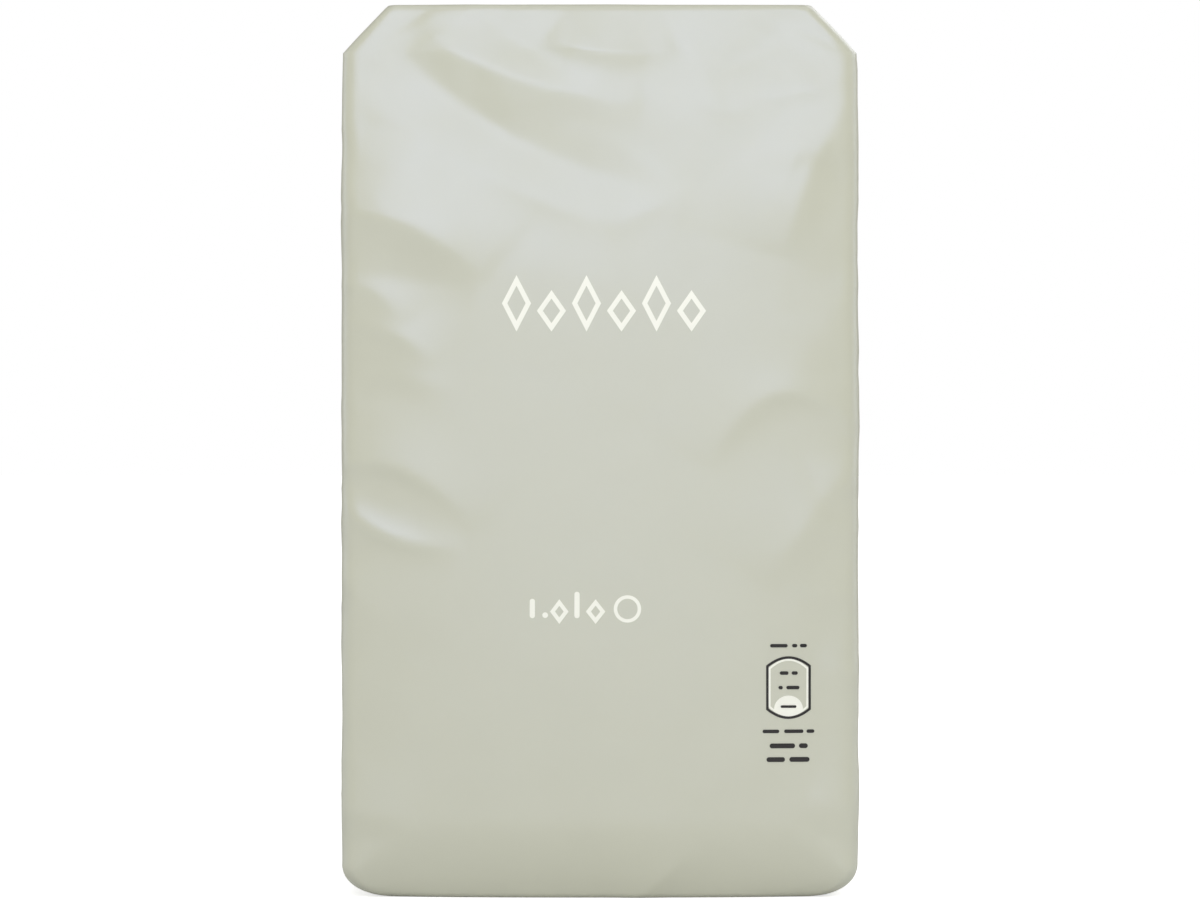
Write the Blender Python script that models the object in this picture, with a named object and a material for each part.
"""A full paper bag of sugar, standing on its folded block bottom.

The bag is one folded sheet of paper shut tight round its filling, so it is one closed solid.
It faces -Y and stands along +Z. The origin is the middle of the base. Sizes are in metres.

The solid starts as a rounded block. The block is cut into a fine grid, and each point of the
grid is then moved to where the filled paper lies: the belly that the sugar pushes out, the slack
upper part that leans in, the folded ends and the larger folds of each panel.
"""

import math

import bmesh
import bpy
from mathutils import Vector

# Overall sizes of the filled bag
WIDTH = 0.1185
DEPTH = 0.080
HEIGHT = 0.204

# What the sugar pushes out past the straight block, at the front and the back
FRONT_BELLY = 0.0048
BELLY_HEIGHT = 0.075
HALF_X = WIDTH / 2
HALF_Y = DEPTH / 2 - FRONT_BELLY

# Round upright edges, and the size of the grid on the panels
UPRIGHT_ROUND = 0.004
UPRIGHT_SEGMENTS = 3
GRID_STEP = 0.0060

# The folded top: the upper part leans in, and the ends of the top slope down to the sides
TOP_DEPTH = 0.060
TOP_ROUND = 0.0016
HIP_INSET = 0.0104
HIP_DROP = 0.0112
TUCK_DEPTH = 0.0065
TUCK_START = 0.146

# The foot: the front and back turn under, and the bottom corners are round
FOOT_TURN = 0.0060
FOOT_HEIGHT = 0.018
FOOT_ROUND = 0.0016
CORNER_INSET = 0.0108
CORNER_HEIGHT = 0.0078

# The glued flaps of the folded ends
PLY = 0.0004
PLY_STEP = 0.0003
FLAP_OVERLAP = 0.009
FLAP_ROOT = 0.006

# The glued seam that runs up the back and over the back flaps
SEAM_X = 0.006
SEAM_WIDTH = 0.013

# The line at which the front starts to lean in: points across the front, as (x, height)
FRONT_BREAK = [(-0.059, 0.158), (-0.028, 0.143), (0.006, 0.138), (0.022, 0.128), (0.059, 0.125)]
BACK_BREAK = [(-0.059, 0.172), (-0.020, 0.151), (0.030, 0.146), (0.059, 0.160)]

# Folds of the paper, each along a curve from a start by a bend to an end. Seen from outside,
# with the curve running to the right, the crest falls away over "above" and "below".
# (start, bend, end, rise, above, below), where a point is (distance to the right, height)
FRONT_FOLDS = [
    ((-0.047, 0.202), (-0.026, 0.184), (0.010, 0.181), 0.0018, 0.012, 0.006),
    ((-0.048, 0.196), (-0.024, 0.169), (0.018, 0.160), -0.0015, 0.008, 0.014),
    ((-0.062, 0.157), (-0.044, 0.157), (-0.025, 0.141), 0.0020, 0.012, 0.006),
    ((-0.062, 0.094), (-0.048, 0.107), (-0.028, 0.084), 0.0014, 0.010, 0.004),
    ((-0.060, 0.094), (-0.053, 0.079), (-0.031, 0.080), 0.0012, 0.005, 0.004),
    ((0.028, 0.100), (0.042, 0.128), (0.062, 0.100), 0.0013, 0.010, 0.004),
    ((0.037, 0.071), (0.048, 0.087), (0.062, 0.104), 0.0014, 0.010, 0.005),
    ((0.041, 0.148), (0.047, 0.168), (0.061, 0.190), 0.0018, 0.011, 0.008),
]
SIDE_FOLDS = [
    ((-0.030, 0.118), (-0.004, 0.126), (0.026, 0.112), 0.0011, 0.008, 0.006),
    ((-0.028, 0.062), (-0.006, 0.052), (0.022, 0.060), 0.0009, 0.008, 0.006),
    ((-0.032, 0.158), (-0.018, 0.150), (-0.004, 0.142), 0.0010, 0.006, 0.005),
]
BACK_FOLDS = [
    ((-0.050, 0.192), (-0.024, 0.180), (0.016, 0.186), 0.0012, 0.007, 0.005),
    ((-0.058, 0.150), (-0.030, 0.146), (0.010, 0.152), 0.0011, 0.008, 0.006),
    ((0.020, 0.120), (0.040, 0.126), (0.056, 0.112), 0.0010, 0.007, 0.005),
    ((-0.056, 0.070), (-0.040, 0.064), (-0.020, 0.072), 0.0009, 0.006, 0.005),
]
FOLD_SAMPLES = 14

PAPER_COLOUR = (0.610, 0.615, 0.525, 1.0)


def clamp(value):
    return max(0.0, min(1.0, value))


def ease(value):
    """0 below 0 and 1 above 1, with a smooth rise between."""
    t = clamp(value)
    return t * t * (3 - 2 * t)


def along(points, x):
    """The height of a smooth line through the points, at x."""
    for (x0, z0), (x1, z1) in zip(points, points[1:]):
        if x <= x1:
            return z0 + (z1 - z0) * ease((x - x0) / (x1 - x0))
    return points[-1][1]


def fold_height(across, up, start, bend, end, rise, above, below):
    """How far one fold lifts the paper at a point of a panel."""
    nearest = None
    for i in range(FOLD_SAMPLES + 1):
        t = i / FOLD_SAMPLES
        a, b, c = (1 - t) ** 2, 2 * t * (1 - t), t * t
        x = a * start[0] + b * bend[0] + c * end[0]
        z = a * start[1] + b * bend[1] + c * end[1]
        gap = math.hypot(across - x, up - z)
        if nearest is None or gap < nearest[0]:
            nearest = (gap, t, z)
    gap, t, z = nearest
    reach = above if up > z else below
    return rise * math.sin(math.pi * t) * math.exp(-((gap / reach) ** 1.4))


def folds(across, up, table):
    return sum(fold_height(across, up, *fold) for fold in table)


def spread_evenly(low, high):
    """Evenly spaced places from low to high, about one grid step apart."""
    count = round((high - low) / GRID_STEP)
    return [low + i * (high - low) / count for i in range(count + 1)]


def row_heights():
    """Heights of the grid's rows, closer together where the foot and the rims turn."""
    corner = [CORNER_HEIGHT * (1 - math.cos(math.radians(turn))) for turn in (17, 34, 51, 68, 85)]
    foot = [0.0105, 0.014]
    panel = spread_evenly(FOOT_HEIGHT, HEIGHT - HIP_DROP)
    hip = [HEIGHT - HIP_DROP + 0.0010, HEIGHT - 0.0062, HEIGHT - TOP_ROUND, HEIGHT - 0.0005]
    return corner + foot + panel + hip


def cut(mesh, place, normal, faces=None):
    """Cuts all of the mesh, or only some faces of it, along a plane."""
    chosen = faces if faces is not None else mesh.faces[:]
    edges = {edge for face in chosen for edge in face.edges}
    verts = {vert for face in chosen for vert in face.verts}
    bmesh.ops.bisect_plane(
        mesh,
        geom=[*verts, *edges, *chosen],
        plane_co=place,
        plane_no=normal,
        dist=1e-6,
    )


def end_faces(mesh, height):
    return [f for f in mesh.faces if all(abs(v.co.z - height) < 1e-6 for v in f.verts)]


def cut_flap_lines(mesh, height):
    """Puts edges along the outlines of the two glued flaps of one end."""
    diagonals = [(sx, sy) for sx in (-1, 1) for sy in (-1, 1)]
    for step in (0.0, PLY_STEP):
        for sx, sy in diagonals:
            corner = Vector((sx * HALF_X, sy * HALF_Y, height))
            normal = Vector((sx, -sy, 0)).normalized()
            cut(mesh, corner - normal * step, normal, end_faces(mesh, height))
        for side in (-1, 1):
            place = Vector((0, side * (FLAP_OVERLAP - step), height))
            cut(mesh, place, Vector((0, 1, 0)), end_faces(mesh, height))


def gridded_block():
    """A block with round upright edges and a grid of edges on every face."""
    mesh = bmesh.new()
    bmesh.ops.create_cube(mesh, size=1.0)
    bmesh.ops.scale(mesh, vec=(2 * HALF_X, 2 * HALF_Y, HEIGHT), verts=mesh.verts)
    bmesh.ops.translate(mesh, vec=(0, 0, HEIGHT / 2), verts=mesh.verts)
    uprights = [e for e in mesh.edges if e.calc_length() > 0.9 * HEIGHT]
    bmesh.ops.bevel(
        mesh,
        geom=uprights,
        offset=UPRIGHT_ROUND,
        segments=UPRIGHT_SEGMENTS,
        profile=0.5,
        affect="EDGES",
        material=-1,
    )
    for x in spread_evenly(UPRIGHT_ROUND - HALF_X, HALF_X - UPRIGHT_ROUND):
        cut(mesh, Vector((x, 0, 0)), Vector((1, 0, 0)))
    for y in spread_evenly(UPRIGHT_ROUND - HALF_Y, HALF_Y - UPRIGHT_ROUND):
        cut(mesh, Vector((0, y, 0)), Vector((0, 1, 0)))
    for z in row_heights():
        cut(mesh, Vector((0, 0, z)), Vector((0, 0, 1)))
    for height in (0.0, HEIGHT):
        cut_flap_lines(mesh, height)
    for side in (-1, 1):
        for step in (0.0, PLY_STEP):
            place = Vector((SEAM_X + side * (SEAM_WIDTH / 2 - step), 0, 0))
            back = [f for f in mesh.faces if all(v.co.y > -FLAP_OVERLAP - 1e-6 for v in f.verts)]
            cut(mesh, place, Vector((1, 0, 0)), back)
    return mesh


def flap_cover(x, y, side):
    """1 where the flap folded in from the front (side -1) or the back (side 1) lies, else 0."""
    from_root = HALF_Y - side * y
    to_free_edge = FLAP_OVERLAP + side * y
    to_diagonal = (HALF_X - abs(x) - from_root) / math.sqrt(2)
    inside = clamp(min(to_free_edge, to_diagonal) / PLY_STEP)
    return inside * ease(from_root / FLAP_ROOT)


def seam_cover(x):
    """1 on the glued seam and 0 beside it."""
    return clamp((SEAM_WIDTH / 2 - abs(x - SEAM_X)) / PLY_STEP)


def belly(across, up):
    """0 at the edges of a panel and 1 where the sugar pushes it out most."""
    if up < BELLY_HEIGHT:
        rise = 1 - 0.4 * (1 - up / BELLY_HEIGHT) ** 2
    else:
        rise = 1 - 0.9 * ((up - BELLY_HEIGHT) / (HEIGHT - BELLY_HEIGHT)) ** 2
    return max(0.0, 1 - abs(across) ** 2.6) * rise


def lean(x, z, break_line):
    """How far the slack upper part of the front or back leans in."""
    start = along(break_line, x)
    share = max(0.0, (z - start) / (HEIGHT - start))
    return (HALF_Y - TOP_DEPTH / 2) * (0.4 * share + 0.6 * ease(share))


def quarter_round(gap, inset, height):
    """How far a rounded rim is drawn in, at a gap below (or above) the flat end."""
    part = clamp(1 - gap / height)
    return inset * (1 - math.sqrt(1 - part * part))


def front_inset(z):
    """How far the front and back are drawn in at the foot and at the top rim."""
    foot = FOOT_TURN * max(0.0, 1 - z / FOOT_HEIGHT) ** 2
    rims = quarter_round(z, FOOT_ROUND, FOOT_ROUND) + quarter_round(HEIGHT - z, TOP_ROUND, TOP_ROUND)
    return foot + rims


def side_inset(z):
    """How far the sides are drawn in at the sloping top ends and the bottom corners."""
    slope = HIP_INSET * clamp((z - (HEIGHT - HIP_DROP)) / HIP_DROP)
    return slope + quarter_round(z, CORNER_INSET, CORNER_HEIGHT)


def side_tuck(v, z):
    """The V-shaped hollow that the folded end pushes into the top of each side."""
    rise = clamp((z - TUCK_START) / (HEIGHT - HIP_DROP - TUCK_START))
    width = 0.10 + 0.62 * rise
    return TUCK_DEPTH * rise * clamp(1 - abs(v) / width)


def filled(point):
    """Where a point of the block lies once the bag is full and shut."""
    x, y, z = point
    u, v = x / HALF_X, y / HALF_Y
    if y < 0:
        out = folds(x, z, FRONT_FOLDS) - lean(x, z, FRONT_BREAK)
    else:
        out = folds(-x, z, BACK_FOLDS) - lean(-x, z, BACK_BREAK) + PLY * seam_cover(x)
    out += FRONT_BELLY * belly(u, z) - front_inset(z)
    side_out = -side_inset(z) - side_tuck(v, z)
    side_out -= folds(math.copysign(y, x * y), z, SIDE_FOLDS) * max(0.0, 1 - v * v)
    front_flap, back_flap = flap_cover(x, y, -1), flap_cover(x, y, 1)
    back_flap *= 1 + seam_cover(x)
    if z > HEIGHT - 1e-6:
        z += PLY * (front_flap + back_flap - 3)
    if z < 1e-6:
        z += PLY * (1 - min(1.0, max(front_flap, back_flap)))
    return Vector((x + u * side_out, y + v * out, z))


def seat_on_base(mesh):
    """Puts the middle of the box round the bag over the origin, with its base at height 0."""
    lows = [min(vert.co[i] for vert in mesh.verts) for i in range(3)]
    highs = [max(vert.co[i] for vert in mesh.verts) for i in range(3)]
    middle = Vector(((lows[0] + highs[0]) / 2, (lows[1] + highs[1]) / 2, lows[2]))
    bmesh.ops.translate(mesh, vec=-middle, verts=mesh.verts)


def paper():
    material = bpy.data.materials.new("coated_paper")
    material.use_nodes = True
    surface = material.node_tree.nodes["Principled BSDF"]
    surface.inputs["Base Color"].default_value = PAPER_COLOUR
    surface.inputs["Roughness"].default_value = 0.45
    surface.inputs["Metallic"].default_value = 0.0
    return material


def sugar_bag():
    mesh = gridded_block()
    for vert in mesh.verts:
        vert.co = filled(vert.co.copy())
    seat_on_base(mesh)
    bmesh.ops.triangulate(mesh, faces=mesh.faces[:])
    data = bpy.data.meshes.new("sugar_bag")
    mesh.to_mesh(data)
    mesh.free()
    data.materials.append(paper())
    data.shade_smooth()
    data.set_sharp_from_angle(angle=math.radians(40))
    bag = bpy.data.objects.new("sugar_bag", data)
    bpy.context.scene.collection.objects.link(bag)


for old in list(bpy.data.objects):
    bpy.data.objects.remove(old)
sugar_bag()
